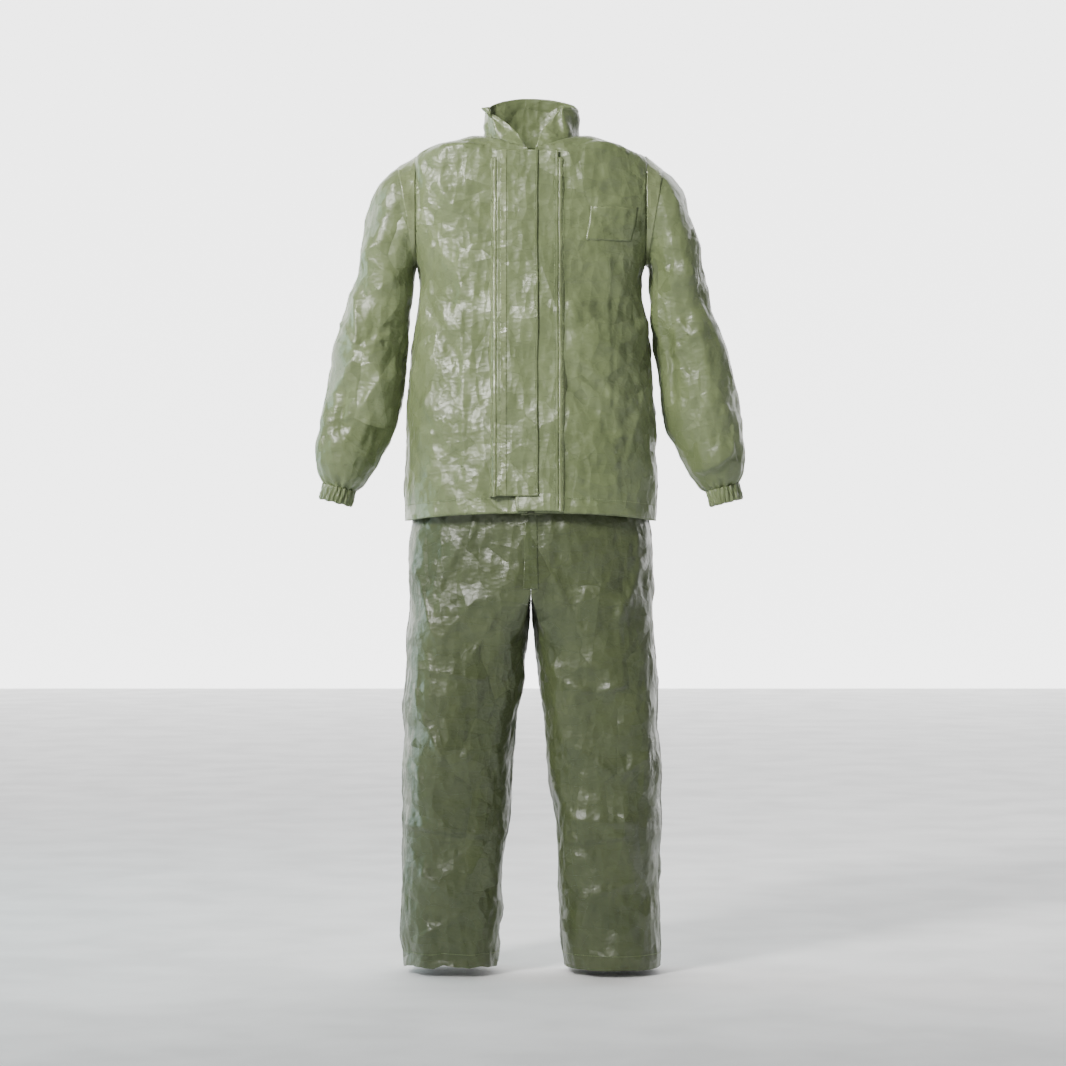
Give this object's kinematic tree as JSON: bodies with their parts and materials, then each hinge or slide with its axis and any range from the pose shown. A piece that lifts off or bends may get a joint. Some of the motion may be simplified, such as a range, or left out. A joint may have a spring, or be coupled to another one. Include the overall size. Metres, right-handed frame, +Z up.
{
  "type": "chemical protective suit",
  "caption": "Two-piece chemical protective suit: jacket with stand collar, zipped front under a double storm flap and elastic cuffs, over elastic-waist trousers.",
  "frame": {"origin": "centre of the trousers' waist opening, at its top edge", "axes": "+Z up, +X to the wearer's left, the front faces -Y"},
  "size_m": [0.768, 0.2782, 1.549],
  "materials": {
    "coated_laminate": "crinkled olive-green film laminate with a soft gloss",
    "seam_tape": "heat-sealed film tape, glossier than the cloth",
    "elastic": "woven elastic",
    "zip_tape": "woven polyester",
    "zip_plastic": "moulded nylon",
    "zip_metal": "enamelled die casting",
    "hook_and_loop": "hook and loop tape"
  },
  "bodies": {
    "trousers": {"hip_panel_left": "coated_laminate", "hip_panel_right": "coated_laminate", "waistband_casing": "coated_laminate", "waist_elastic": "elastic", "rise_tape_front": "seam_tape", "rise_tape_back": "seam_tape"},
    "jacket": {"jacket_front_left": "coated_laminate", "jacket_front_right": "coated_laminate", "jacket_back": "coated_laminate", "collar": "coated_laminate", "side_seam_tape_left": "seam_tape", "side_seam_tape_right": "seam_tape", "shoulder_seam_tape_left": "seam_tape", "shoulder_seam_tape_right": "seam_tape", "hem_facing_front_left": "coated_laminate", "hem_facing_front_right": "coated_laminate", "hem_facing_back": "coated_laminate", "chest_patch": "coated_laminate", "zip_tape_left": "zip_tape", "zip_tape_right": "zip_tape", "zip_coil_left": "zip_plastic", "zip_coil_right": "zip_plastic", "zip_top_stops": "zip_metal", "zip_retainer_box": "zip_plastic", "storm_flap_outer_root": "coated_laminate", "storm_flap_inner_root": "coated_laminate"},
    "storm_flap_outer": {"storm_flap_outer": "coated_laminate", "hook_strip": "hook_and_loop"},
    "storm_flap_inner": {"storm_flap_inner": "coated_laminate", "loop_strip": "hook_and_loop"},
    "zip_slider": {"zip_slider": "zip_metal", "zip_pull_tab": "zip_metal"},
    "sleeve_upper_left": {"sleeve_upper_left": "coated_laminate", "armhole_seam_tape_left": "seam_tape", "underarm_tape_upper_left": "seam_tape"},
    "sleeve_lower_left": {"sleeve_lower_left": "coated_laminate", "underarm_tape_lower_left": "seam_tape", "cuff_casing_left": "coated_laminate", "cuff_elastic_left": "elastic"},
    "thigh_left": {"thigh_left": "coated_laminate", "outseam_tape_thigh_left": "seam_tape", "inseam_tape_thigh_left": "seam_tape"},
    "shin_left": {"shin_left": "coated_laminate", "outseam_tape_shin_left": "seam_tape", "inseam_tape_shin_left": "seam_tape", "ankle_hem_left": "coated_laminate"},
    "sleeve_upper_right": {"sleeve_upper_right": "coated_laminate", "armhole_seam_tape_right": "seam_tape", "underarm_tape_upper_right": "seam_tape"},
    "sleeve_lower_right": {"sleeve_lower_right": "coated_laminate", "underarm_tape_lower_right": "seam_tape", "cuff_casing_right": "coated_laminate", "cuff_elastic_right": "elastic"},
    "thigh_right": {"thigh_right": "coated_laminate", "outseam_tape_thigh_right": "seam_tape", "inseam_tape_thigh_right": "seam_tape"},
    "shin_right": {"shin_right": "coated_laminate", "outseam_tape_shin_right": "seam_tape", "inseam_tape_shin_right": "seam_tape", "ankle_hem_right": "coated_laminate"}
  },
  "joints": [
    {"name": "jacket_lift", "type": "slide", "parent": "trousers", "child": "jacket", "axis": [0, 0, 1], "range_m": [0, 0.5]},
    {"name": "storm_flap_outer_open", "type": "hinge", "parent": "jacket", "child": "storm_flap_outer", "pos_m": [-0.0603, -0.14698, -0.15943], "axis": [0, -0.0821, -0.9966], "range_deg": [0, 160]},
    {"name": "storm_flap_inner_open", "type": "hinge", "parent": "jacket", "child": "storm_flap_inner", "pos_m": [0.0483, -0.14419, -0.15965], "axis": [0, 0.0821, 0.9966], "range_deg": [0, 72]},
    {"name": "zip_slide", "type": "slide", "parent": "jacket", "child": "zip_slider", "axis": [0, -0.0821, -0.9966], "range_m": [0, 0.58]},
    {"name": "shoulder_left", "type": "hinge", "parent": "jacket", "child": "sleeve_upper_left", "pos_m": [0.2033, 0.01, 0.384], "axis": [-1, 0, 0], "range_deg": [-20, 80]},
    {"name": "elbow_left", "type": "hinge", "parent": "sleeve_upper_left", "child": "sleeve_lower_left", "pos_m": [0.27975, -0.052, 0.1515], "axis": [-0.9905, 0, -0.1373], "range_deg": [0, 90]},
    {"name": "hip_left", "type": "hinge", "parent": "trousers", "child": "thigh_left", "pos_m": [0.111, -0.116, -0.2928], "axis": [-1, 0, 0], "range_deg": [0, 70]},
    {"name": "knee_left", "type": "hinge", "parent": "thigh_left", "child": "shin_left", "pos_m": [0.122, 0.1, -0.49], "axis": [1, 0, 0], "range_deg": [0, 90]},
    {"name": "shoulder_right", "type": "hinge", "parent": "jacket", "child": "sleeve_upper_right", "pos_m": [-0.2033, 0.01, 0.384], "axis": [-1, 0, 0], "range_deg": [-20, 80]},
    {"name": "elbow_right", "type": "hinge", "parent": "sleeve_upper_right", "child": "sleeve_lower_right", "pos_m": [-0.27975, -0.052, 0.1515], "axis": [-0.9905, 0, 0.1373], "range_deg": [0, 90]},
    {"name": "hip_right", "type": "hinge", "parent": "trousers", "child": "thigh_right", "pos_m": [-0.111, -0.116, -0.2928], "axis": [-1, 0, 0], "range_deg": [0, 70]},
    {"name": "knee_right", "type": "hinge", "parent": "thigh_right", "child": "shin_right", "pos_m": [-0.122, 0.1, -0.49], "axis": [1, 0, 0], "range_deg": [0, 90]}
  ],
  "couplings": [
    {"joint": "storm_flap_inner_open", "follows": "storm_flap_outer_open", "ratio": 0.45}
  ]
}
